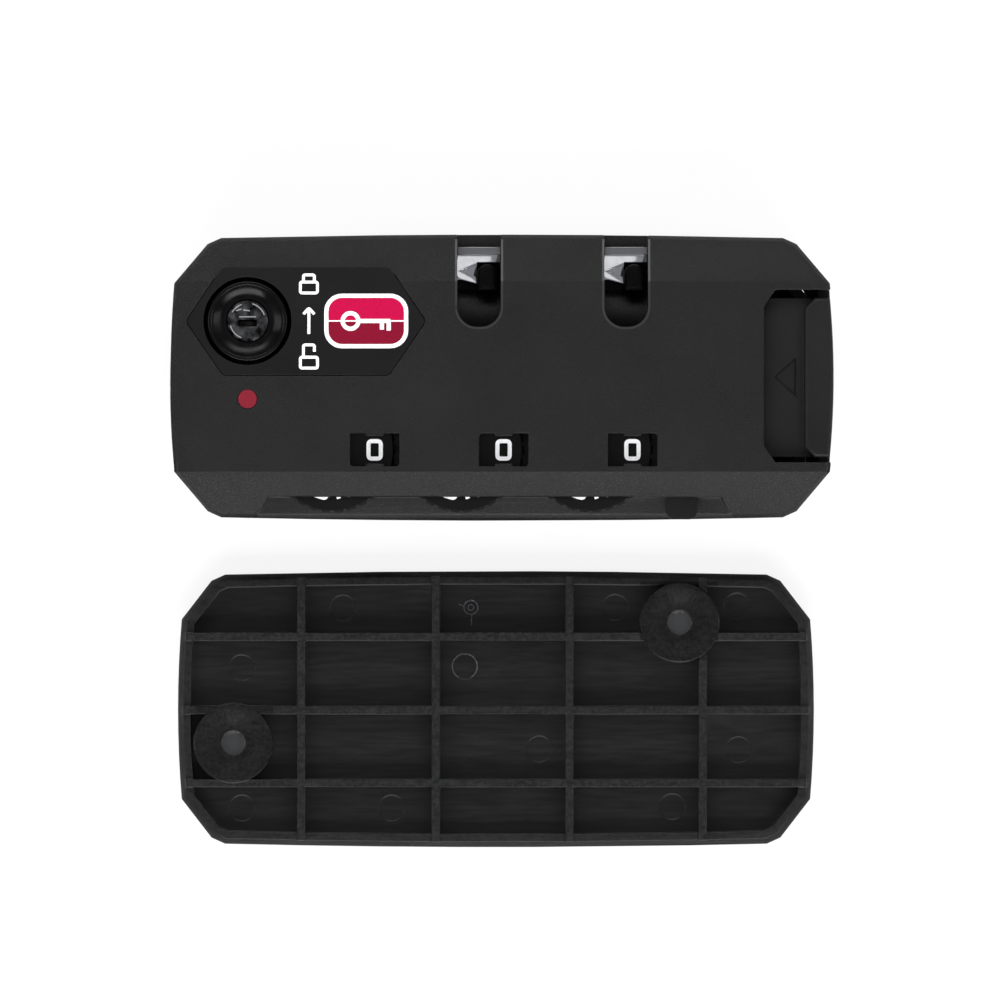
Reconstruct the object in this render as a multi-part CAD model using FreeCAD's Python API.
"""Built-in luggage combination lock, with its ribbed backing plate lying beside it.

The lock lies on its back at z = 0, face up.  +X points to the release button,
+Y to the open ends of the two slots that take the zip pullers.  The origin is
the centre of the lock's back face.  All sizes are in millimetres.
"""
import FreeCAD, Part

import math
import os

from FreeCAD import Vector

# ---------------------------------------------------------------- overall sizes
LOCK_LENGTH = 97.2
LOCK_WIDTH = 42.0
LOCK_DEPTH = 20.0
FLANGE_HEIGHT = 9.0          # underside of the housing's flange above the back
WALL = 1.8
EDGE_BEVEL = 0.6
END_BULGE = 0.55             # how far each end bows out at its middle
SIDE_BULGE = 0.5
CORNER_CUT_LENGTH = 4.85     # long chamfer of the outline's corners
CORNER_CUT_WIDTH = 5.8
CORNER_TOE_LENGTH = 2.0      # short second chamfer towards the long side
CORNER_TOE_WIDTH = 0.9

UPPER_BEVEL_WIDTH = 6.9
UPPER_BEVEL_DROP = 3.1
LOWER_BEVEL_WIDTH = 7.2
LOWER_BEVEL_DROP = 3.4

# ---------------------------------------------------------------- fits and gaps
SEAM = 0.1                   # between fixed pieces that fit in one another
RUNNING = 0.05               # radial, on pins and axles
MOVING_GAP = 0.3             # between pieces that pass one another

# ---------------------------------------------------------------- rear cover
COVER_INSET = 3.6            # rear cover inside the housing's outline
COVER_WALL = 1.6
COVER_FLOOR = 2.0
COVER_SPIGOT = 1.5           # how far the cover's rim rises into the flange

# ---------------------------------------------------------------- dials
DIAL_COUNT = 3
DIAL_PITCH = 18.9
DIAL_ROW_CENTRE = -5.98
DIAL_FROM_LOWER_EDGE = 10.4
DIAL_RADIUS = 9.2
DIAL_THICKNESS = 5.9
DIAL_NOTCHES = 30
DIAL_NOTCH_RADIUS = 0.42
DIAL_DIGITS = 10
DIAL_POCKET_GAP = 0.2
POST_RADIUS = 1.5
POST_SEAT_DEPTH = 0.7

WINDOW_FROM_DIAL = 6.22      # window centre from its dial's axis
WINDOW_LENGTH = 7.2
WINDOW_WIDTH = 4.8
WINDOW_TAB_LENGTH = 2.6
WINDOW_TAB_DEPTH = 0.37

# ---------------------------------------------------------------- thumb groove
GROOVE_LEFT = -34.4
GROOVE_RIGHT = 32.2
GROOVE_FLARE = 2.8
GROOVE_TOP_FROM_EDGE = 3.5
GROOVE_WALL = 1.5
LEDGE_HEIGHT = 11.6
LIP_WIDTH = 0.9
LIP_DROP = 1.2

# ---------------------------------------------------------------- code sleeves
SLEEVE_RADIUS = 3.2
CODE_FLANGE_RADIUS = 4.5
CODE_FLANGE_BOTTOM = 5.0
CODE_FLANGE_THICKNESS = 2.0
CODE_FLAT = 3.2              # the flat's distance from the axis
SLEEVE_ENGAGEMENT = 2.2      # depth of the sleeve's keys in the dial
SLEEVE_KEYS = 4
KEY_WIDTH = 1.2
KEY_HEIGHT = 0.7
KEY_RELIEF = 0.2             # room for the keys when they have dropped out of the dial
DETENT_RING_RADIUS = 5.4
DETENT_RING_HEIGHT = 1.4
DETENT_NOTCH_RADIUS = 0.5
SLEEVE_SPRING_RADIUS = 3.6
SLEEVE_WIRE = 0.35

# ---------------------------------------------------------------- latch
LATCH_TRAVEL = 4.5
LATCH_THICKNESS = 2.0
LATCH_SPINE_WIDTH = 3.2
TOOTH_TIP_GAP = 0.2          # between a tooth's tip and the code flat
TOOTH_WIDTH = 2.4
TOOTH_FROM_AXIS = 3.6
ARM_WIDTH = 3.0

# ---------------------------------------------------------------- puller slots
SLOT_CENTRES = (-3.37, 18.2)
SLOT_WIDTH = 6.4
SLOT_FROM_UPPER_EDGE = 13.6
SLOT_CORNER = 2.9
WELL_WALL = 1.2
WELL_FLOOR_HEIGHT = 12.0
SLOT_SILL_HEIGHT = 14.0
SILL_WIDTH = 1.8
STRIKER_WIDTH = 1.15
STRIKER_HEIGHT = 2.6
HOOK_THICKNESS = 2.6
HOOK_TOP_HEIGHT = 15.8
HOOK_BAND_WIDTH = 1.05
HOOK_TOOTH_WIDTH = 4.2
HOOK_TOOTH_REACH = 2.9
HOOK_NOTCH_HALF_WIDTH = 0.95
HOOK_NOTCH_DEPTH = 0.8
POST_BLOCK_LENGTH = 3.0
POST_BLOCK_WIDTH = 3.9
POST_BLOCK_HEIGHT = 17.2
RAMP_LENGTH = 5.0
RAMP_HEIGHT = 15.0

# ---------------------------------------------------------------- release button
BUTTON_RECESS_LENGTH = 10.2  # from the lock's right end
BUTTON_RECESS_UPPER = 12.85
BUTTON_RECESS_LOWER = 12.4
BUTTON_RECESS_CORNER = 2.4
BUTTON_HALF_WIDTH = 11.7
CAP_LENGTH = 4.3
CAP_STAND_OUT = 0.3
CAP_CORNER = 1.5
CAP_BOTTOM = 12.4
PANEL_THICKNESS = 2.0
PANEL_TAIL = 1.0             # hidden length beyond the recess's left edge
PANEL_TAIL_HALF_WIDTH = 11.0
ARROW_TIP = 1.5              # arrow's tip from the recess's left edge
ARROW_LENGTH = 3.2
ARROW_OFFSET = 0.1
ARROW_HALF_WIDTH = 2.87
ARROW_DEPTH = 0.35
STEM_HALF_WIDTH = 3.0
STEM_LENGTH = 2.0

# ---------------------------------------------------------------- reset
RESET_FROM_LAST_DIAL = 13.48
RESET_WIDTH = 4.5
RESET_HEIGHT = 3.0
RESET_TRAVEL = 2.0
RESET_STAND_BACK = 0.2       # the pin's tip inside the lock's lower edge
RESET_PLATE_THICKNESS = 1.0
RESET_COLLAR_MARGIN = 0.8
RAMP_GAP = 0.2
GUIDE_PIN_RADIUS = 0.9
BAR_SPRING_RADIUS = 1.1      # springs of the reset pin and the latch bar
BAR_SPRING_WIRE = 0.4

# ---------------------------------------------------------------- key lock
KEY_FROM_LEFT_END = 11.3
KEY_FROM_UPPER_EDGE = 12.72
KEY_HOLE_RADIUS = 6.45
BARREL_RADIUS = 5.9
BARREL_FLANGE_RADIUS = 7.6
BARREL_FLANGE_THICKNESS = 1.6
BARREL_BOTTOM = 10.6
BARREL_TOP_BELOW_FACE = 0.3
DISH_RADIUS = 5.4
DISH_DEPTH = 0.8
PLUG_RADIUS = 3.0
PLUG_BOTTOM = 7.6
KEY_SLOT_LENGTH = 2.7
KEY_SLOT_WIDTH = 0.95
KEY_SLOT_DEPTH = 8.0
WAFER_COUNT = 4
WAFER_THICKNESS = 0.5
WAFER_PITCH = 1.5
CAM_THICKNESS = 1.6
CAM_LENGTH = 8.0
CAM_WIDTH = 3.4
CLIP_THICKNESS = 0.6
CAM_TENON = 1.6

# ---------------------------------------------------------------- badge
BADGE_THICKNESS = 0.5
BADGE_HALF_WIDTH = 8.0
BADGE_LEFT_FLAT = -3.6       # from the key's axis
BADGE_RIGHT_FLAT = 20.7
BADGE_LEFT_POINT = -9.1
BADGE_RIGHT_POINT = 26.2
MARK_FROM_KEY = 17.4
MARK_HALF_LENGTH = 6.15
MARK_HALF_WIDTH = 4.0
MARK_THICKNESS = 0.25
INDICATOR_FROM_KEY = 11.43
INDICATOR_RADIUS = 1.375
INDICATOR_LENGTH = 1.4

# ---------------------------------------------------------------- fasteners
COVER_SCREW_RADIUS = 1.0
COVER_SCREW_HEAD_RADIUS = 2.0
COVER_SCREW_HEAD = 1.2
SCREW_BOSS_RADIUS = 2.4
MOUNT_SCREW_RADIUS = 1.25    # wall of the threaded hole
MOUNT_BOSS_RADIUS = 3.0
MOUNT_BOSS_HEIGHT = 8.0
MOUNT_HOLE_DEPTH = 7.0
MOUNT_POINTS = ((27.1, 12.8), (-38.75, -5.0))
LEAF_THICKNESS = 0.3
LEAF_HEIGHT = 1.1
RIVET_RADIUS = 0.45

# ---------------------------------------------------------------- backing plate
PLATE_LENGTH = 93.8
PLATE_WIDTH = 40.7
PLATE_OFFSET = (-0.9, -48.8)
PLATE_BASE = 1.8
PLATE_RIM_HEIGHT = 4.2
PLATE_RIB_HEIGHT = 4.8
PLATE_RIM_LENGTH = 1.9
PLATE_RIM_STEP = 0.25
PLATE_RIB_THICKNESS = 1.15
PLATE_RIBS_ACROSS = (-28.7, -8.86, 10.84, 30.5)
PLATE_RIBS_ALONG = (-10.9, -0.15, 10.7)
PLATE_BOSS_RADIUS = 5.85
PLATE_BOSS_HEIGHT = 5.0
PLATE_BOSS_DISH = 0.8
PLATE_HOLE_RADIUS = 1.85
EJECTOR_RADIUS = 1.9
EJECTOR_DEPTH = 0.15
EJECTOR_MARKS = (
    (-37.5, 6.1),
    (-37.5, -14.6),
    (-15.4, -14.6),
    (-4.6, 6.3),
    (6.4, -5.9),
    (17.6, 15.0),
    (35.6, 15.2),
    (35.8, -6.0),
    (26.0, -14.4),
    (-22.6, 14.9),
)

# ---------------------------------------------------------------- derived places
END_X = LOCK_LENGTH / 2
EDGE_Y = LOCK_WIDTH / 2
FACE_UNDERSIDE = LOCK_DEPTH - WALL
DIAL_TOP = FACE_UNDERSIDE - MOVING_GAP
DIAL_BOTTOM = DIAL_TOP - DIAL_THICKNESS
DIAL_Y = -EDGE_Y + DIAL_FROM_LOWER_EDGE
DIAL_XS = [DIAL_ROW_CENTRE + (i - (DIAL_COUNT - 1) / 2) * DIAL_PITCH for i in range(DIAL_COUNT)]
GROOVE_TOP_Y = -EDGE_Y + GROOVE_TOP_FROM_EDGE
CAVITY_FLOOR = FLANGE_HEIGHT + COVER_SPIGOT + SEAM
COVER_RIM = FLANGE_HEIGHT + COVER_SPIGOT
FLANGE_TOP_Z = CODE_FLANGE_BOTTOM + CODE_FLANGE_THICKNESS
SLEEVE_DROP = SLEEVE_ENGAGEMENT
SLEEVE_TOP = DIAL_BOTTOM + SLEEVE_ENGAGEMENT
TOOTH_TIP_Y = DIAL_Y + CODE_FLAT + TOOTH_TIP_GAP
SPINE_LOW_Y = DIAL_Y + CODE_FLANGE_RADIUS + 0.5
SPINE_HIGH_Y = SPINE_LOW_Y + LATCH_SPINE_WIDTH
LATCH_BOTTOM = CODE_FLANGE_BOTTOM
LATCH_TOP = LATCH_BOTTOM + LATCH_THICKNESS
SLOT_LOW_Y = EDGE_Y - SLOT_FROM_UPPER_EDGE
SILL_Y = EDGE_Y - SILL_WIDTH
HOOK_HIGH_Y = SILL_Y - STRIKER_WIDTH - 0.05
ARM_END_Y = EDGE_Y - COVER_INSET - COVER_WALL - SIDE_BULGE - MOVING_GAP
KEY_X = -END_X + KEY_FROM_LEFT_END
KEY_Y = EDGE_Y - KEY_FROM_UPPER_EDGE
RECESS_X = END_X - BUTTON_RECESS_LENGTH
CAP_LEFT_X = END_X - CAP_LENGTH
RESET_X = DIAL_XS[-1] + RESET_FROM_LAST_DIAL
RESET_BOTTOM = LEDGE_HEIGHT + MOVING_GAP
RESET_TOP = RESET_BOTTOM + RESET_HEIGHT
COVER_SCREWS = (
    (-END_X + 8.6, -EDGE_Y + 9.5 - 0.2),
    (DIAL_XS[0] + 4.4, EDGE_Y - 8.0),
    (RECESS_X - 4.4, -EDGE_Y + 6.8),
    (RECESS_X - 4.4, EDGE_Y - 6.8),
)


# ---------------------------------------------------------------- helpers
def block(x_low, x_high, y_low, y_high, z_low, z_high):
    corner = Vector(x_low, y_low, z_low)
    return Part.makeBox(x_high - x_low, y_high - y_low, z_high - z_low, corner)


def disc(x, y, z_low, z_high, radius):
    return Part.makeCylinder(radius, z_high - z_low, Vector(x, y, z_low))


def flat_prism(points, z_low, z_high):
    """Closed polygon in XY, raised from z_low to z_high."""
    loop = [Vector(x, y, z_low) for x, y in points]
    face = Part.Face(Part.makePolygon(loop + loop[:1]))
    return face.extrude(Vector(0, 0, z_high - z_low))


def side_prism(points, x_low, x_high):
    """Closed polygon of (y, z) points, run along X."""
    loop = [Vector(x_low, y, z) for y, z in points]
    face = Part.Face(Part.makePolygon(loop + loop[:1]))
    return face.extrude(Vector(x_high - x_low, 0, 0))


def join(first, others):
    return first.multiFuse(others).removeSplitter()


def outline(length, width, cut_x, cut_y):
    """Long outline with bowed sides and two-step chamfered corners, as a face at z = 0."""
    end = length / 2
    edge = width / 2
    corner_x = end - END_BULGE
    corner_y = edge - SIDE_BULGE
    steps = [
        (corner_x, corner_y - CORNER_TOE_WIDTH - cut_y),
        (corner_x - cut_x, corner_y - CORNER_TOE_WIDTH),
        (corner_x - cut_x - CORNER_TOE_LENGTH, corner_y),
    ]
    first, second, third = steps
    quarter = [Vector(x, y, 0) for x, y in steps]
    mirror_x = [Vector(-v.x, v.y, 0) for v in reversed(quarter)]
    mirror_both = [Vector(-v.x, -v.y, 0) for v in quarter]
    mirror_y = [Vector(v.x, -v.y, 0) for v in reversed(quarter)]
    edges = []
    for run in (quarter, mirror_x, mirror_both, mirror_y):
        edges.append(Part.makeLine(run[0], run[1]))
        edges.append(Part.makeLine(run[1], run[2]))
    edges.append(Part.Arc(quarter[2], Vector(0, edge, 0), mirror_x[0]).toShape())
    edges.append(Part.Arc(mirror_x[2], Vector(-end, 0, 0), mirror_both[0]).toShape())
    edges.append(Part.Arc(mirror_both[2], Vector(0, -edge, 0), mirror_y[0]).toShape())
    edges.append(Part.Arc(mirror_y[2], Vector(end, 0, 0), quarter[0]).toShape())
    return Part.Face(Part.Wire(Part.__sortEdges__(edges)))


def lock_outline(inset):
    whole = outline(LOCK_LENGTH, LOCK_WIDTH, CORNER_CUT_LENGTH, CORNER_CUT_WIDTH)
    if inset == 0:
        return whole
    return Part.Face(whole.OuterWire.makeOffset2D(-inset, 2))


def raised(face, z_low, z_high):
    lifted = face.translated(Vector(0, 0, z_low))
    return lifted.extrude(Vector(0, 0, z_high - z_low))


def bevel_height(y, inset=0.0):
    """Height of the bevelled face above y, for a surface set in by inset."""
    upper = UPPER_BEVEL_DROP / UPPER_BEVEL_WIDTH
    lower = LOWER_BEVEL_DROP / LOWER_BEVEL_WIDTH
    top = LOCK_DEPTH - inset
    upper_z = LOCK_DEPTH - (y - (EDGE_Y - UPPER_BEVEL_WIDTH)) * upper - inset * math.hypot(1, upper)
    lower_z = LOCK_DEPTH + (y + (EDGE_Y - LOWER_BEVEL_WIDTH)) * lower - inset * math.hypot(1, lower)
    return min(top, upper_z, lower_z)


def bevelled_section(inset, z_low):
    """(y, z) outline of the housing's section, set in by inset at the top."""
    reach = EDGE_Y + 1
    upper = UPPER_BEVEL_DROP / UPPER_BEVEL_WIDTH
    lower = LOWER_BEVEL_DROP / LOWER_BEVEL_WIDTH
    top = LOCK_DEPTH - inset
    upper_crease = EDGE_Y - UPPER_BEVEL_WIDTH - inset * (math.hypot(1, upper) - 1) / upper
    lower_crease = -EDGE_Y + LOWER_BEVEL_WIDTH + inset * (math.hypot(1, lower) - 1) / lower
    return [
        (-reach, z_low),
        (-reach, bevel_height(-reach, inset)),
        (lower_crease, top),
        (upper_crease, top),
        (reach, bevel_height(reach, inset)),
        (reach, z_low),
    ]


def spring(x, y, z, direction, length, radius, wire, turns):
    """Round-wire compression spring that starts at (x, y, z)."""
    pitch = (length - wire) / turns
    helix = Part.makeHelix(pitch, length - wire, radius)
    profile = Part.Wire(Part.makeCircle(wire / 2, Vector(radius, 0, 0), Vector(0, 1, 0)))
    coil = Part.Wire(helix).makePipeShell([profile], True, True)
    coil.translate(Vector(0, 0, wire / 2))
    turn = FreeCAD.Rotation(Vector(0, 0, 1), direction)
    coil.Placement = FreeCAD.Placement(Vector(x, y, z), turn) * coil.Placement
    return coil


# ---------------------------------------------------------------- housing
def groove_space():
    """Space of the thumb groove, open to the lower edge."""
    low_y = -EDGE_Y + 0.5
    out_y = -EDGE_Y - 1
    top_left = Vector(GROOVE_LEFT, GROOVE_TOP_Y, 0)
    top_right = Vector(GROOVE_RIGHT, GROOVE_TOP_Y, 0)
    foot_left = Vector(GROOVE_LEFT - GROOVE_FLARE, low_y, 0)
    foot_right = Vector(GROOVE_RIGHT + GROOVE_FLARE, low_y, 0)
    middle_y = (GROOVE_TOP_Y + low_y) / 2 - 0.3
    bend_left = Vector(GROOVE_LEFT - GROOVE_FLARE * 0.36, middle_y, 0)
    bend_right = Vector(GROOVE_RIGHT + GROOVE_FLARE * 0.36, middle_y, 0)
    out_left = Vector(foot_left.x, out_y, 0)
    out_right = Vector(foot_right.x, out_y, 0)
    edges = [
        Part.makeLine(top_left, top_right),
        Part.Arc(top_right, bend_right, foot_right).toShape(),
        Part.makeLine(foot_right, out_right),
        Part.makeLine(out_right, out_left),
        Part.makeLine(out_left, foot_left),
        Part.Arc(foot_left, bend_left, top_left).toShape(),
    ]
    groove = raised(Part.Face(Part.Wire(edges)), LEDGE_HEIGHT, LOCK_DEPTH + 1)
    lip = side_prism(
        [
            (-EDGE_Y + LIP_WIDTH, LEDGE_HEIGHT),
            (-EDGE_Y + LIP_WIDTH, LEDGE_HEIGHT + 1),
            (out_y, LEDGE_HEIGHT + 1),
            (out_y, LEDGE_HEIGHT - LIP_DROP * (1 + LIP_WIDTH) / LIP_WIDTH),
        ],
        foot_left.x,
        foot_right.x,
    )
    return groove.fuse(lip)


def window_space(dial_x):
    x = dial_x + WINDOW_FROM_DIAL
    low_z = FACE_UNDERSIDE - 0.5
    high_z = LOCK_DEPTH + 1
    half_length = WINDOW_LENGTH / 2
    half_width = WINDOW_WIDTH / 2
    narrow = half_width - WINDOW_TAB_DEPTH
    middle = block(x - half_length, x + half_length, DIAL_Y - narrow, DIAL_Y + narrow, low_z, high_z)
    half_tab = WINDOW_TAB_LENGTH / 2
    left = block(x - half_length, x - half_tab, DIAL_Y - half_width, DIAL_Y + half_width, low_z, high_z)
    right = block(x + half_tab, x + half_length, DIAL_Y - half_width, DIAL_Y + half_width, low_z, high_z)
    return middle.multiFuse([left, right])


def slot_plan(x, half_width, low_y, corner, z_low, z_high):
    """U-shaped prism, open towards +Y, with rounded lower corners."""
    high_y = EDGE_Y + 1
    body = block(x - half_width, x + half_width, low_y + corner, high_y, z_low, z_high)
    foot = block(x - half_width + corner, x + half_width - corner, low_y, high_y, z_low, z_high)
    left = disc(x - half_width + corner, low_y + corner, z_low, z_high, corner)
    right = disc(x + half_width - corner, low_y + corner, z_low, z_high, corner)
    return body.multiFuse([foot, left, right]).removeSplitter()


def slot_well(x):
    """Walls and floor that shut a puller slot off from the mechanism."""
    half = SLOT_WIDTH / 2
    outer = slot_plan(x, half + WELL_WALL, SLOT_LOW_Y - WELL_WALL, SLOT_CORNER + WELL_WALL,
                      WELL_FLOOR_HEIGHT - WELL_WALL, LOCK_DEPTH)
    return outer


def slot_space(x):
    """What is cut for one puller slot: the open well, its sill and the hook's window."""
    half = SLOT_WIDTH / 2
    well = slot_plan(x, half, SLOT_LOW_Y, SLOT_CORNER, WELL_FLOOR_HEIGHT, LOCK_DEPTH + 1)
    sill = block(x - half - 1, x + half + 1, SILL_Y, EDGE_Y + 2, WELL_FLOOR_HEIGHT - 1, SLOT_SILL_HEIGHT)
    window = block(
        x - half - WELL_WALL - 1,
        x,
        HOOK_HIGH_Y - HOOK_TOOTH_WIDTH - MOVING_GAP,
        HOOK_HIGH_Y + 0.04,
        HOOK_TOP_HEIGHT - HOOK_THICKNESS - MOVING_GAP,
        HOOK_TOP_HEIGHT + MOVING_GAP,
    )
    return well.cut(sill).fuse(window)


def slot_ramp(x):
    """Domed ramp that lifts a puller over the post."""
    half = SLOT_WIDTH / 2
    low_y = SLOT_LOW_Y - 0.3
    high_y = SLOT_LOW_Y + RAMP_LENGTH + 0.4
    floor = WELL_FLOOR_HEIGHT - 0.1
    start = Vector(x - half, low_y, RAMP_HEIGHT - 0.6)
    crown = Vector(x - half, low_y + RAMP_LENGTH * 0.45, RAMP_HEIGHT)
    finish = Vector(x - half, high_y, RAMP_HEIGHT - 2.2)
    foot_high = Vector(x - half, high_y, floor)
    foot_low = Vector(x - half, low_y, floor)
    wire = Part.Wire([
        Part.Arc(start, crown, finish).toShape(),
        Part.makeLine(finish, foot_high),
        Part.makeLine(foot_high, foot_low),
        Part.makeLine(foot_low, start),
    ])
    ramp = Part.Face(wire).extrude(Vector(SLOT_WIDTH, 0, 0))
    inside = slot_plan(x, half + 0.1, SLOT_LOW_Y - 0.1, SLOT_CORNER, floor, LOCK_DEPTH)
    return ramp.common(inside)


def slot_post(x):
    """Round-topped post that the puller's eye drops over."""
    left = x - 0.3
    high_y = HOOK_HIGH_Y - HOOK_BAND_WIDTH - MOVING_GAP
    low_y = high_y - POST_BLOCK_WIDTH
    floor = WELL_FLOOR_HEIGHT - 0.1
    radius = POST_BLOCK_LENGTH / 2
    stem = block(left, left + POST_BLOCK_LENGTH, low_y, high_y - radius, floor, POST_BLOCK_HEIGHT)
    nose = disc(left + radius, high_y - radius, floor, POST_BLOCK_HEIGHT, radius)
    post = stem.fuse(nose).removeSplitter()
    top_edges = [edge for edge in post.Edges if edge.BoundBox.ZMin > POST_BLOCK_HEIGHT - 0.01]
    return post.makeFillet(0.8, top_edges)


def button_recess():
    """Cut for the release button, open to the right end."""
    corner = BUTTON_RECESS_CORNER
    far = END_X + 2
    plan = [
        (RECESS_X + corner * 0.7, BUTTON_RECESS_UPPER),
        (far, BUTTON_RECESS_UPPER),
        (far, -BUTTON_RECESS_LOWER),
        (RECESS_X + corner * 0.7, -BUTTON_RECESS_LOWER),
        (RECESS_X, -BUTTON_RECESS_LOWER + corner),
        (RECESS_X, BUTTON_RECESS_UPPER - corner),
    ]
    return flat_prism(plan, CAP_BOTTOM - MOVING_GAP, LOCK_DEPTH + 1)


def hexagon(inset, z_low, z_high):
    half = BADGE_HALF_WIDTH - inset
    points = [
        (KEY_X + BADGE_LEFT_FLAT, KEY_Y + half),
        (KEY_X + BADGE_LEFT_POINT + inset, KEY_Y),
        (KEY_X + BADGE_LEFT_FLAT, KEY_Y - half),
        (KEY_X + BADGE_RIGHT_FLAT, KEY_Y - half),
        (KEY_X + BADGE_RIGHT_POINT - inset, KEY_Y),
        (KEY_X + BADGE_RIGHT_FLAT, KEY_Y + half),
    ]
    prism = flat_prism(points, z_low, z_high)
    upright = [edge for edge in prism.Edges if abs(edge.tangentAt(edge.FirstParameter).z) > 0.99]
    return prism.makeFillet(1.0, upright)


def front_housing():
    section = side_prism(bevelled_section(0, FLANGE_HEIGHT), -END_X - 1, END_X + 1)
    shell = raised(lock_outline(0), FLANGE_HEIGHT, LOCK_DEPTH).common(section)
    rim = [edge for edge in shell.Edges if is_face_rim(edge)]
    shell = shell.makeChamfer(EDGE_BEVEL, rim)

    inner_section = side_prism(bevelled_section(WALL, CAVITY_FLOOR), -END_X, END_X)
    cavity = raised(lock_outline(WALL), CAVITY_FLOOR, LOCK_DEPTH).common(inner_section)
    cavity = cavity.cut(block(-END_X, END_X, -EDGE_Y, GROOVE_TOP_Y + GROOVE_WALL, 0, LOCK_DEPTH))
    mouth = raised(lock_outline(COVER_INSET - SEAM), FLANGE_HEIGHT - 1, CAVITY_FLOOR)
    shell = shell.cut(cavity.fuse(mouth))

    inside = []
    for x in SLOT_CENTRES:
        inside.append(slot_well(x))
    for x, y in COVER_SCREWS:
        inside.append(disc(x, y, COVER_RIM, LOCK_DEPTH - 1, SCREW_BOSS_RADIUS))
    for x in leaf_post_xs():
        inside.append(block(x - 1, x + 1, leaf_y() + LEAF_THICKNESS / 2, leaf_y() + 2,
                            leaf_bottom(), LOCK_DEPTH - 1))
    rib_y = spring_rib_y()
    inside.append(block(RESET_X - 1.5, RESET_X + 1.5, rib_y, rib_y + 1.2, RESET_BOTTOM - 0.4, LOCK_DEPTH - 1))
    solid_outline = raised(lock_outline(0.3), FLANGE_HEIGHT, LOCK_DEPTH).common(
        side_prism(bevelled_section(0.3, FLANGE_HEIGHT), -END_X, END_X))
    inside = [piece.common(solid_outline) for piece in inside]
    shell = join(shell, inside)

    spaces = [groove_space(), button_recess()]
    for x in DIAL_XS:
        spaces.append(window_space(x))
        spaces.append(disc(x, DIAL_Y, LEDGE_HEIGHT, FACE_UNDERSIDE, DIAL_RADIUS + DIAL_POCKET_GAP))
        spaces.append(disc(x, DIAL_Y, FACE_UNDERSIDE, FACE_UNDERSIDE + POST_SEAT_DEPTH + SEAM,
                           POST_RADIUS + SEAM))
    for x in SLOT_CENTRES:
        spaces.append(slot_space(x))
    for x, y in COVER_SCREWS:
        spaces.append(disc(x, y, COVER_RIM - 1, FACE_UNDERSIDE - 1, COVER_SCREW_RADIUS + RUNNING))
    for x in leaf_post_xs():
        spaces.append(rivet_shape(x, RIVET_RADIUS + RUNNING))
    spaces.append(disc(KEY_X, KEY_Y, CAVITY_FLOOR, LOCK_DEPTH + 1, KEY_HOLE_RADIUS))
    spaces.append(hexagon(0, LOCK_DEPTH - BADGE_THICKNESS, LOCK_DEPTH + 1))
    spaces.append(disc(KEY_X, KEY_Y - INDICATOR_FROM_KEY, LOCK_DEPTH - INDICATOR_LENGTH,
                       LOCK_DEPTH + 1, INDICATOR_RADIUS + RUNNING))
    spaces.append(block(RESET_X - RESET_WIDTH / 2 - SEAM, RESET_X + RESET_WIDTH / 2 + SEAM,
                        GROOVE_TOP_Y - 1, GROOVE_TOP_Y + GROOVE_WALL + 0.1,
                        RESET_BOTTOM - SEAM, RESET_TOP + SEAM))
    for space in spaces:
        shell = shell.cut(space)

    added = [slot_ramp(x) for x in SLOT_CENTRES] + [slot_post(x) for x in SLOT_CENTRES]
    return join(shell, added)


def is_face_rim(edge):
    """True for the edges where the bevelled face meets the housing's side."""
    box = edge.BoundBox
    low = LOCK_DEPTH - max(UPPER_BEVEL_DROP, LOWER_BEVEL_DROP) - 0.6
    middle = edge.valueAt((edge.FirstParameter + edge.LastParameter) / 2)
    along_crease = box.YLength < 0.01 and abs(middle.y) < EDGE_Y - SIDE_BULGE - 0.2
    level = box.ZMin > low
    return level and not along_crease


def leaf_y():
    """Middle plane of the detent leaf, just clear of the dials' detent rings."""
    return DIAL_Y + DETENT_RING_RADIUS + 0.7


def leaf_bottom():
    return DIAL_BOTTOM - DETENT_RING_HEIGHT + 0.1


def leaf_post_xs():
    return (DIAL_XS[0] - 9.6, DIAL_XS[-1] + 11.6)


def rivet_shape(x, radius):
    y = leaf_y() - LEAF_THICKNESS / 2
    z = leaf_bottom() + LEAF_HEIGHT / 2
    return Part.makeCylinder(radius, 1.6, Vector(x, y, z), Vector(0, 1, 0))


def spring_rib_y():
    return -EDGE_Y + 14.0


# ---------------------------------------------------------------- rear cover
def rear_cover():
    outer = raised(lock_outline(COVER_INSET), 0, COVER_RIM)
    inner = raised(lock_outline(COVER_INSET + COVER_WALL), COVER_FLOOR, COVER_RIM + 1)
    cover = outer.cut(inner)
    fitted = raised(lock_outline(COVER_INSET + 0.2), 0, COVER_RIM)
    columns = [disc(x, y, 1, COVER_RIM, SCREW_BOSS_RADIUS) for x, y in COVER_SCREWS]
    columns += [disc(x, y, 1, MOUNT_BOSS_HEIGHT, MOUNT_BOSS_RADIUS) for x, y in MOUNT_POINTS]
    rib_x = latch_spring_seat()
    columns.append(block(rib_x - 1.3, rib_x, SPINE_LOW_Y, SPINE_HIGH_Y, 1, LATCH_TOP + 0.5))
    for x in guide_xs():
        columns.append(disc(x, guide_y(), 1, COVER_RIM - 0.6, GUIDE_PIN_RADIUS))
    cover = join(cover, [column.common(fitted) for column in columns])
    head = COVER_SCREW_HEAD + SEAM
    holes = []
    for x, y in COVER_SCREWS:
        holes.append(disc(x, y, -1, head, COVER_SCREW_HEAD_RADIUS + SEAM))
        holes.append(disc(x, y, -1, COVER_RIM + 1, COVER_SCREW_RADIUS + SEAM))
    for x, y in MOUNT_POINTS:
        holes.append(disc(x, y, -1, MOUNT_HOLE_DEPTH, MOUNT_SCREW_RADIUS))
    for x in DIAL_XS:
        holes.append(disc(x, DIAL_Y, COVER_FLOOR - 1.4, COVER_FLOOR + 1, POST_RADIUS))
    for hole in holes:
        cover = cover.cut(hole)
    return cover


def latch_spring_seat():
    return latch_left_x() - LATCH_TRAVEL - 4.2


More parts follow.
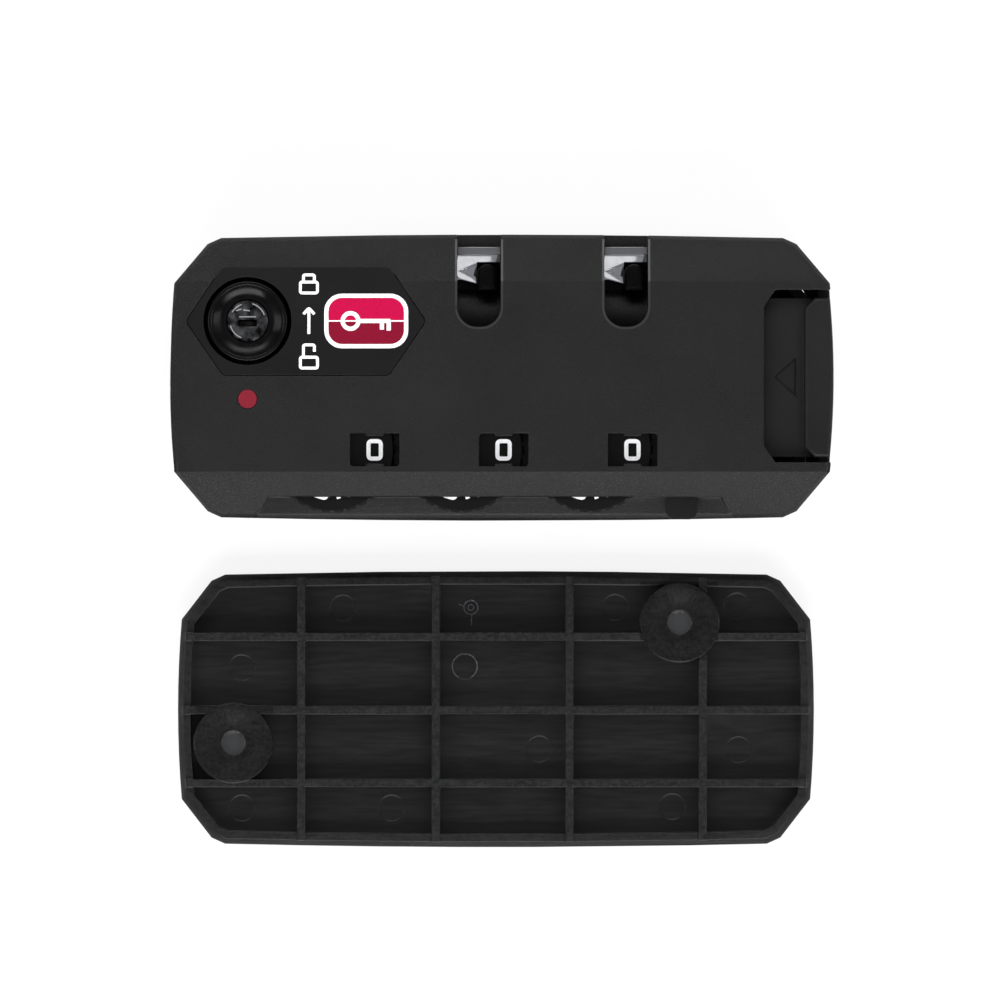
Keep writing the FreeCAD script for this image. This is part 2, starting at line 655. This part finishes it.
def latch_left_x():
    return DIAL_XS[0] + TOOTH_FROM_AXIS + 1.8


def guide_xs():
    return [x - DIAL_PITCH / 2 for x in DIAL_XS[1:]]


def guide_y():
    return DIAL_Y - 3.2


def cover_screws():
    screws = []
    for x, y in COVER_SCREWS:
        head = disc(x, y, SEAM, COVER_SCREW_HEAD + SEAM, COVER_SCREW_HEAD_RADIUS)
        shank = disc(x, y, COVER_SCREW_HEAD, FACE_UNDERSIDE - 1.5, COVER_SCREW_RADIUS)
        slot = block(x - 1.3, x + 1.3, y - 0.25, y + 0.25, 0, SEAM + 0.6)
        cross = block(x - 0.25, x + 0.25, y - 1.3, y + 1.3, 0, SEAM + 0.6)
        screws.append(head.fuse(shank).removeSplitter().cut(slot).cut(cross))
    return Part.makeCompound(screws)


def dial_posts():
    top = FACE_UNDERSIDE + POST_SEAT_DEPTH
    return Part.makeCompound([disc(x, DIAL_Y, COVER_FLOOR - 1.4, top, POST_RADIUS) for x in DIAL_XS])


# ---------------------------------------------------------------- dials and sleeves
def dial(x):
    body = disc(x, DIAL_Y, DIAL_BOTTOM, DIAL_TOP, DIAL_RADIUS)
    rims = [edge for edge in body.Edges if edge.Length > 6 * DIAL_RADIUS]
    body = body.makeChamfer(0.35, rims)
    ring_low = DIAL_BOTTOM - DETENT_RING_HEIGHT
    body = body.fuse(disc(x, DIAL_Y, ring_low, DIAL_BOTTOM, DETENT_RING_RADIUS)).removeSplitter()
    cuts = [disc(x, DIAL_Y, ring_low - 1, DIAL_TOP + 1, POST_RADIUS + RUNNING)]
    cuts.append(disc(x, DIAL_Y, ring_low - 1, SLEEVE_TOP + SEAM, SLEEVE_RADIUS + SEAM))
    relief = SLEEVE_RADIUS + KEY_HEIGHT + KEY_RELIEF
    cuts.append(disc(x, DIAL_Y, ring_low - 1, DIAL_BOTTOM + KEY_RELIEF, relief))
    for i in range(SLEEVE_KEYS):
        key = sleeve_key(x, i, SEAM, DIAL_BOTTOM, SLEEVE_TOP + SEAM)
        cuts.append(key)
    for i in range(DIAL_NOTCHES):
        angle = 2 * math.pi * (i + 0.5) / DIAL_NOTCHES
        centre_x = x + (DIAL_RADIUS + 0.1) * math.cos(angle)
        centre_y = DIAL_Y + (DIAL_RADIUS + 0.1) * math.sin(angle)
        cuts.append(disc(centre_x, centre_y, DIAL_BOTTOM - 1, DIAL_TOP + 1, DIAL_NOTCH_RADIUS))
    for i in range(DIAL_DIGITS):
        angle = math.pi / 2 + 2 * math.pi * i / DIAL_DIGITS
        centre_x = x + (DETENT_RING_RADIUS + 0.1) * math.cos(angle)
        centre_y = DIAL_Y + (DETENT_RING_RADIUS + 0.1) * math.sin(angle)
        cuts.append(disc(centre_x, centre_y, ring_low - 1, DIAL_BOTTOM, DETENT_NOTCH_RADIUS))
    return body.cut(cuts)


def sleeve_key(x, index, margin, z_low, z_high):
    reach = SLEEVE_RADIUS + KEY_HEIGHT + margin
    half = KEY_WIDTH / 2 + margin
    key = block(0, reach, -half, half, z_low, z_high)
    key.rotate(Vector(0, 0, 0), Vector(0, 0, 1), 360 * (index + 0.5) / SLEEVE_KEYS)
    key.translate(Vector(x, DIAL_Y, 0))
    return key


def code_sleeve(x):
    hub = disc(x, DIAL_Y, CODE_FLANGE_BOTTOM, SLEEVE_TOP, SLEEVE_RADIUS)
    flange = disc(x, DIAL_Y, CODE_FLANGE_BOTTOM, FLANGE_TOP_Z, CODE_FLANGE_RADIUS)
    reach = CODE_FLANGE_RADIUS + 1
    flange = flange.cut(block(x - reach, x + reach, DIAL_Y + CODE_FLAT, DIAL_Y + reach, 0, LOCK_DEPTH))
    keys = [sleeve_key(x, i, 0, DIAL_BOTTOM + 2 * KEY_RELIEF, SLEEVE_TOP) for i in range(SLEEVE_KEYS)]
    body = join(hub, [flange] + keys)
    return body.cut(disc(x, DIAL_Y, 0, LOCK_DEPTH, POST_RADIUS + RUNNING))


def sleeve_spring(x):
    length = CODE_FLANGE_BOTTOM - COVER_FLOOR - 0.1
    start = COVER_FLOOR + 0.05
    return spring(x, DIAL_Y, start, Vector(0, 0, 1), length, SLEEVE_SPRING_RADIUS, SLEEVE_WIRE, 1.75)


def detent_leaf():
    """Leaf spring along the dials, with a bump that faces each detent ring."""
    first, last = leaf_post_xs()
    low = leaf_bottom()
    y = leaf_y()
    half = LEAF_THICKNESS / 2
    strip = block(first - 1, last + 1, y - half, y + half, low, low + LEAF_HEIGHT)
    bumps = []
    for x in DIAL_XS:
        bumps.append(flat_prism([(x - 0.9, y), (x + 0.9, y), (x, y - 0.55)], low, low + LEAF_HEIGHT))
    leaf = join(strip, bumps)
    return leaf.cut([rivet_shape(end, RIVET_RADIUS + RUNNING) for end in leaf_post_xs()])


def leaf_rivets():
    rivets = []
    for x in leaf_post_xs():
        shank = rivet_shape(x, RIVET_RADIUS)
        y = leaf_y() - LEAF_THICKNESS / 2
        z = leaf_bottom() + LEAF_HEIGHT / 2
        head = Part.makeCylinder(0.8, 0.4, Vector(x, y - 0.4, z), Vector(0, 1, 0))
        rivets.append(shank.fuse(head).removeSplitter())
    return Part.makeCompound(rivets)


# ---------------------------------------------------------------- reset
def reset_ramp(offset):
    """Sloping line, shifted along Y, on which the button presses the plate down."""
    slope = SLEEVE_DROP / RESET_TRAVEL
    start_y = -EDGE_Y + 7.4 + offset
    start_z = FLANGE_TOP_Z + MOVING_GAP + RESET_PLATE_THICKNESS
    return start_y, start_z, slope


def reset_button():
    low_y = -EDGE_Y + RESET_STAND_BACK
    inner_y = GROOVE_TOP_Y + GROOVE_WALL
    half = RESET_WIDTH / 2
    head = block(RESET_X - half, RESET_X + half, low_y, inner_y + 4.0, RESET_BOTTOM, RESET_TOP)
    tip = [edge for edge in head.Edges if edge.BoundBox.YMax < low_y + 0.01 and edge.BoundBox.ZLength > 1]
    head = head.makeFillet(1.2, tip)
    collar = block(
        RESET_X - half - RESET_COLLAR_MARGIN,
        RESET_X + half + RESET_COLLAR_MARGIN,
        inner_y + 0.1,
        inner_y + 1.1,
        RESET_BOTTOM,
        RESET_TOP + RESET_COLLAR_MARGIN,
    )
    start_y, start_z, slope = reset_ramp(0)
    low_z = start_z + 0.4
    rise = RESET_BOTTOM + SEAM - low_z
    leg = side_prism(
        [
            (start_y - 1.8, low_z),
            (start_y - 1.8, RESET_BOTTOM + SEAM),
            (start_y + (0.4 + rise) / slope, RESET_BOTTOM + SEAM),
            (start_y + 0.4 / slope, low_z),
        ],
        RESET_X - 1.8,
        RESET_X + 1.8,
    )
    return join(head, [collar, leg])


def reset_plate():
    """Comb that lies on the sleeves' flanges, with a ramped tab under the button's leg."""
    low = FLANGE_TOP_Z + MOVING_GAP
    high = low + RESET_PLATE_THICKNESS
    low_y = DIAL_Y - CODE_FLANGE_RADIUS - 0.3
    high_y = TOOTH_TIP_Y - 0.5
    plate = block(DIAL_XS[0] - 5.0, RESET_X + 2.4, low_y, high_y, low, high)
    start_y, start_z, slope = reset_ramp(RAMP_GAP * 1.5)
    rise = DIAL_BOTTOM - 1.0 - start_z
    tab = side_prism(
        [
            (start_y, start_z - 0.5),
            (start_y, start_z),
            (start_y + rise / slope, start_z + rise),
            (start_y + rise / slope + 1.2, start_z + rise),
            (start_y + rise / slope + 1.2, start_z - 0.5),
        ],
        RESET_X - 1.7,
        RESET_X + 1.7,
    )
    plate = join(plate, [tab])
    notch = SLEEVE_RADIUS + MOVING_GAP
    cuts = []
    for x in DIAL_XS:
        cuts.append(disc(x, DIAL_Y, low - 1, high + 1, notch))
        cuts.append(block(x - notch, x + notch, DIAL_Y, high_y + 1, low - 1, high + 1))
    for x in guide_xs():
        cuts.append(disc(x, guide_y(), low - 1, high + 1, GUIDE_PIN_RADIUS + RUNNING * 2))
    return plate.cut(cuts)


def reset_spring():
    start = GROOVE_TOP_Y + GROOVE_WALL + 4.05
    length = spring_rib_y() - 0.05 - start
    z = (RESET_BOTTOM + RESET_TOP) / 2
    return spring(RESET_X, start, z, Vector(0, 1, 0), length, BAR_SPRING_RADIUS, BAR_SPRING_WIRE, 3.5)


# ---------------------------------------------------------------- latch and hooks
def hook_arm_x(slot_x):
    """Left edge of the arm that carries a hook, beside the slot's well."""
    return slot_x - SLOT_WIDTH / 2 - WELL_WALL - 0.5 - ARM_WIDTH


def latch_bar():
    spine = block(latch_left_x(), RECESS_X + 1.0, SPINE_LOW_Y, SPINE_HIGH_Y, LATCH_BOTTOM, LATCH_TOP)
    pieces = []
    for x in DIAL_XS:
        left = x + TOOTH_FROM_AXIS
        right = left + TOOTH_WIDTH
        pieces.append(block(left, right, TOOTH_TIP_Y, SPINE_LOW_Y + 0.1, LATCH_BOTTOM, LATCH_TOP))
    for slot_x in SLOT_CENTRES:
        left = hook_arm_x(slot_x)
        pieces.append(block(left, left + ARM_WIDTH, SPINE_HIGH_Y - 0.1, ARM_END_Y, LATCH_BOTTOM, LATCH_TOP))
    return join(spine, pieces)


def hook(slot_x):
    """Chrome hook: an upright on the latch arm and a blade that crosses the slot."""
    left = hook_arm_x(slot_x)
    blade_low = HOOK_TOP_HEIGHT - HOOK_THICKNESS
    low_y = HOOK_HIGH_Y - HOOK_TOOTH_WIDTH
    upright = block(left, left + ARM_WIDTH, low_y, ARM_END_Y, LATCH_TOP, HOOK_TOP_HEIGHT)
    half = SLOT_WIDTH / 2
    band_low_y = HOOK_HIGH_Y - HOOK_BAND_WIDTH
    band = block(left, slot_x + half - 0.15, band_low_y, HOOK_HIGH_Y, blade_low, HOOK_TOP_HEIGHT)
    right = slot_x - half + HOOK_TOOTH_REACH
    tooth = flat_prism(
        [
            (left, band_low_y),
            (left, low_y + 0.6),
            (slot_x - half + 0.6, low_y + 0.6),
            (right, low_y),
            (right, band_low_y),
        ],
        blade_low,
        HOOK_TOP_HEIGHT,
    )
    solid = join(upright, [band, tooth])
    middle = low_y + 0.3 + (HOOK_TOOTH_WIDTH - HOOK_BAND_WIDTH) / 2
    for start, depth in ((0.1, HOOK_NOTCH_DEPTH / 2), (1.3, HOOK_NOTCH_DEPTH)):
        solid = solid.cut(hook_notch(slot_x - half, right + 0.1, start, middle, depth))
    return solid


def hook_notch(tip_x, mouth_x, start, middle, depth):
    """One step of the tapered notch in a hook's tooth, which guides the puller in."""
    widen = HOOK_NOTCH_HALF_WIDTH / (mouth_x - tip_x)
    low = HOOK_TOP_HEIGHT - depth
    near = widen * start
    points = [
        (tip_x + start, middle + near),
        (tip_x + start, middle - near),
        (mouth_x, middle - HOOK_NOTCH_HALF_WIDTH),
        (mouth_x, middle + HOOK_NOTCH_HALF_WIDTH),
    ]
    return flat_prism(points, low, HOOK_TOP_HEIGHT + 1)


def striker(slot_x):
    half = SLOT_WIDTH / 2 - 0.05
    low = WELL_FLOOR_HEIGHT
    return block(slot_x - half, slot_x + half, SILL_Y - STRIKER_WIDTH, SILL_Y, low, low + STRIKER_HEIGHT)


def latch_spring():
    start = latch_spring_seat() + 0.05
    length = latch_left_x() - 0.05 - start
    y = (SPINE_LOW_Y + SPINE_HIGH_Y) / 2
    z = (LATCH_BOTTOM + LATCH_TOP) / 2
    return spring(start, y, z, Vector(1, 0, 0), length, BAR_SPRING_RADIUS, BAR_SPRING_WIRE, 7)


# ---------------------------------------------------------------- release button
def release_button():
    top = FACE_UNDERSIDE - MOVING_GAP
    low = top - PANEL_THICKNESS
    y = BUTTON_HALF_WIDTH
    tail = PANEL_TAIL_HALF_WIDTH
    left = RECESS_X - PANEL_TAIL
    panel = flat_prism(
        [(left, tail), (RECESS_X, tail), (RECESS_X + 1, y), (CAP_LEFT_X + 1, y),
         (CAP_LEFT_X + 1, -y), (RECESS_X + 1, -y), (RECESS_X, -tail), (left, -tail)],
        low,
        top,
    )
    cap_end = END_X - 0.3 + CAP_STAND_OUT
    corner = CAP_CORNER
    cap_corners = [
        Vector(cap_end - END_BULGE, y, 0),
        Vector(CAP_LEFT_X + corner, y, 0),
        Vector(CAP_LEFT_X, y - corner, 0),
        Vector(CAP_LEFT_X, -y + corner, 0),
        Vector(CAP_LEFT_X + corner, -y, 0),
        Vector(cap_end - END_BULGE, -y, 0),
    ]
    edges = [Part.makeLine(a, b) for a, b in zip(cap_corners, cap_corners[1:])]
    edges.append(Part.Arc(cap_corners[-1], Vector(cap_end, 0, 0), cap_corners[0]).toShape())
    cap = raised(Part.Face(Part.Wire(edges)), CAP_BOTTOM, LOCK_DEPTH - 0.1)
    top_edges = [edge for edge in cap.Edges if edge.BoundBox.ZMin > LOCK_DEPTH - 0.2]
    cap = cap.makeFillet(0.6, top_edges)
    stem = block(RECESS_X - 1, RECESS_X + STEM_LENGTH - 1, -STEM_HALF_WIDTH + stem_y(),
                 STEM_HALF_WIDTH + stem_y(), LATCH_TOP, low + 0.1)
    button = join(cap, [panel, stem])
    tip = RECESS_X + ARROW_TIP
    middle = ARROW_OFFSET
    arrow = flat_prism(
        [
            (tip, middle),
            (tip + ARROW_LENGTH, middle + ARROW_HALF_WIDTH),
            (tip + ARROW_LENGTH, middle - ARROW_HALF_WIDTH),
        ],
        top - ARROW_DEPTH,
        top + 1,
    )
    return button.cut(arrow)


def stem_y():
    return (SPINE_LOW_Y + SPINE_HIGH_Y) / 2


# ---------------------------------------------------------------- key lock
def key_barrel():
    top = LOCK_DEPTH - BARREL_TOP_BELOW_FACE
    body = disc(KEY_X, KEY_Y, BARREL_BOTTOM, top, BARREL_RADIUS)
    flange_low = FACE_UNDERSIDE - BARREL_FLANGE_THICKNESS
    flange = disc(KEY_X, KEY_Y, flange_low, FACE_UNDERSIDE, BARREL_FLANGE_RADIUS)
    flange = flange.common(side_prism(bevelled_section(WALL, 0), -END_X, END_X))
    body = body.fuse(flange).removeSplitter()
    dish = Part.makeCone(PLUG_RADIUS, DISH_RADIUS, DISH_DEPTH, Vector(KEY_X, KEY_Y, top - DISH_DEPTH))
    body = body.cut(dish)
    return body.cut(disc(KEY_X, KEY_Y, 0, LOCK_DEPTH, PLUG_RADIUS + RUNNING))


def plug_top():
    return LOCK_DEPTH - BARREL_TOP_BELOW_FACE - DISH_DEPTH + 0.15


def wafer_heights():
    first = BARREL_BOTTOM + 1.4
    return [first + i * WAFER_PITCH for i in range(WAFER_COUNT)]


def key_plug():
    top = plug_top()
    body = disc(KEY_X, KEY_Y, PLUG_BOTTOM, top, PLUG_RADIUS)
    tenon = block(KEY_X - CAM_TENON / 2, KEY_X + CAM_TENON / 2, KEY_Y - CAM_TENON / 2, KEY_Y + CAM_TENON / 2,
                  PLUG_BOTTOM - CAM_THICKNESS - CLIP_THICKNESS, PLUG_BOTTOM + 0.1)
    body = body.fuse(tenon).removeSplitter()
    half_length = KEY_SLOT_LENGTH / 2
    half_width = KEY_SLOT_WIDTH / 2
    slot_low = top - KEY_SLOT_DEPTH
    slot = block(KEY_X - half_length, KEY_X + half_length, KEY_Y - 0.3 - half_width, KEY_Y - 0.3 + half_width,
                 slot_low, top + 1)
    body = body.cut(slot)
    for z in wafer_heights():
        body = body.cut(wafer_block(z, RUNNING))
    return body


def wafer_block(z, margin):
    return block(KEY_X - 1.9 - margin, KEY_X + 1.9 + margin, KEY_Y - 2.1 - margin, KEY_Y + 2.1 + margin,
                 z - margin, z + WAFER_THICKNESS + margin)


def wafer_tumblers():
    wafers = []
    for z in wafer_heights():
        gate = block(KEY_X - 1.4, KEY_X + 1.4, KEY_Y - 0.8, KEY_Y + 0.5, z - 1, z + 2)
        wafers.append(wafer_block(z, 0).cut(gate))
    return Part.makeCompound(wafers)


def key_cam():
    low = PLUG_BOTTOM - CAM_THICKNESS
    hub = disc(KEY_X, KEY_Y, low, PLUG_BOTTOM, PLUG_RADIUS)
    half = CAM_WIDTH / 2
    arm = block(KEY_X - half, KEY_X + half, KEY_Y - CAM_LENGTH + half, KEY_Y, low, PLUG_BOTTOM)
    tip = disc(KEY_X, KEY_Y - CAM_LENGTH + half, low, PLUG_BOTTOM, half)
    cam = join(hub, [arm, tip])
    reach = CAM_TENON / 2 + 0.02
    return cam.cut(block(KEY_X - reach, KEY_X + reach, KEY_Y - reach, KEY_Y + reach, 0, LOCK_DEPTH))


def cam_clip():
    low = PLUG_BOTTOM - CAM_THICKNESS - CLIP_THICKNESS
    ring = disc(KEY_X, KEY_Y, low, low + CLIP_THICKNESS, 2.4)
    reach = CAM_TENON / 2 + 0.02
    ring = ring.cut(block(KEY_X - reach, KEY_X + reach, KEY_Y - reach, KEY_Y + reach, 0, LOCK_DEPTH))
    return ring.cut(block(KEY_X + reach, KEY_X + 4, KEY_Y - 0.5, KEY_Y + 0.5, 0, LOCK_DEPTH))


# ---------------------------------------------------------------- badge and indicator
def badge_plate():
    low = LOCK_DEPTH - BADGE_THICKNESS
    plate = hexagon(SEAM, low, LOCK_DEPTH)
    plate = plate.cut(disc(KEY_X, KEY_Y, low - 1, LOCK_DEPTH + 1, KEY_HOLE_RADIUS))
    return plate.cut(mark_shape(SEAM / 2, LOCK_DEPTH - MARK_THICKNESS, LOCK_DEPTH + 1))


def mark_shape(margin, z_low, z_high):
    """Rounded emblem field, longer than it is wide."""
    x = KEY_X + MARK_FROM_KEY
    long = MARK_HALF_LENGTH + margin
    wide = MARK_HALF_WIDTH + margin
    field = block(x - long, x + long, KEY_Y - wide, KEY_Y + wide, z_low, z_high)
    upright = [edge for edge in field.Edges if edge.BoundBox.ZLength > z_high - z_low - 0.01]
    return field.makeFillet(2.6, upright)


def badge_mark():
    return mark_shape(0, LOCK_DEPTH - MARK_THICKNESS, LOCK_DEPTH)


def red_indicator():
    y = KEY_Y - INDICATOR_FROM_KEY
    return disc(KEY_X, y, LOCK_DEPTH - INDICATOR_LENGTH, LOCK_DEPTH, INDICATOR_RADIUS)


# ---------------------------------------------------------------- backing plate
def backing_plate():
    whole = outline(PLATE_LENGTH, PLATE_WIDTH, 4.4, 5.7)
    rim_inner = Part.Face(whole.OuterWire.makeOffset2D(-PLATE_RIM_LENGTH, 2))
    plate = raised(whole, 0, PLATE_RIM_HEIGHT)
    top = [edge for edge in plate.Edges if edge.BoundBox.ZMin > PLATE_RIM_HEIGHT - 0.01]
    plate = plate.makeChamfer(0.8, top)
    plate = plate.cut(raised(rim_inner, PLATE_BASE, PLATE_RIM_HEIGHT + 1))
    within = raised(Part.Face(whole.OuterWire.makeOffset2D(-PLATE_RIM_STEP * 3, 2)), 0, PLATE_BOSS_HEIGHT + 1)
    half = PLATE_RIB_THICKNESS / 2
    low = PLATE_BASE - 0.5
    ribs = []
    for x in PLATE_RIBS_ACROSS:
        ribs.append(block(x - half, x + half, -PLATE_WIDTH, PLATE_WIDTH, low, PLATE_RIB_HEIGHT))
    for y in PLATE_RIBS_ALONG:
        ribs.append(block(-PLATE_LENGTH, PLATE_LENGTH, y - half, y + half, low, PLATE_RIB_HEIGHT))
    ribs = [rib.common(within) for rib in ribs]
    bosses = [disc(x, y, low, PLATE_BOSS_HEIGHT, PLATE_BOSS_RADIUS).common(within)
              for x, y in plate_holes()]
    plate = join(plate, ribs + bosses)
    cuts = []
    for x, y in plate_holes():
        dish_low = PLATE_BOSS_HEIGHT - PLATE_BOSS_DISH
        cuts.append(Part.makeCone(PLATE_HOLE_RADIUS + 0.6, PLATE_BOSS_RADIUS - 0.6, PLATE_BOSS_DISH + 0.01,
                                  Vector(x, y, dish_low)))
        cuts.append(disc(x, y, -1, PLATE_BOSS_HEIGHT + 1, PLATE_HOLE_RADIUS))
    for x, y in EJECTOR_MARKS:
        cuts.append(disc(x, y, PLATE_BASE - EJECTOR_DEPTH, PLATE_BASE + 0.5, EJECTOR_RADIUS))
    for cut in cuts:
        plate = plate.cut(cut)
    plate.translate(Vector(PLATE_OFFSET[0], PLATE_OFFSET[1], 0))
    return plate


def plate_holes():
    """The plate's holes line up with the lock's threaded bosses."""
    return MOUNT_POINTS


# ---------------------------------------------------------------- all pieces
def all_pieces():
    pieces = {
        "front_housing": front_housing(),
        "rear_cover": rear_cover(),
        "cover_screws": cover_screws(),
        "dial_posts": dial_posts(),
        "detent_leaf": detent_leaf(),
        "leaf_rivets": leaf_rivets(),
        "reset_button": reset_button(),
        "reset_plate": reset_plate(),
        "reset_spring": reset_spring(),
        "latch_bar": latch_bar(),
        "latch_spring": latch_spring(),
        "release_button": release_button(),
        "key_barrel": key_barrel(),
        "key_plug": key_plug(),
        "wafer_tumblers": wafer_tumblers(),
        "key_cam": key_cam(),
        "cam_clip": cam_clip(),
        "badge_plate": badge_plate(),
        "badge_mark": badge_mark(),
        "red_indicator": red_indicator(),
        "backing_plate": backing_plate(),
    }
    for side, slot_x in zip(("left", "right"), SLOT_CENTRES):
        pieces["hook_" + side] = hook(slot_x)
        pieces["striker_" + side] = striker(slot_x)
    for number, x in enumerate(DIAL_XS, start=1):
        pieces["dial_%d" % number] = dial(x)
        pieces["code_sleeve_%d" % number] = code_sleeve(x)
        pieces["sleeve_spring_%d" % number] = sleeve_spring(x)
    return pieces


os.makedirs("parts", exist_ok=True)
for name, shape in all_pieces().items():
    if not shape.isValid():
        print("not valid:", name)
    print(name, len(shape.Solids), "solid(s)", round(shape.Volume, 1), "mm3")
    shape.exportStep("parts/" + name + ".step")
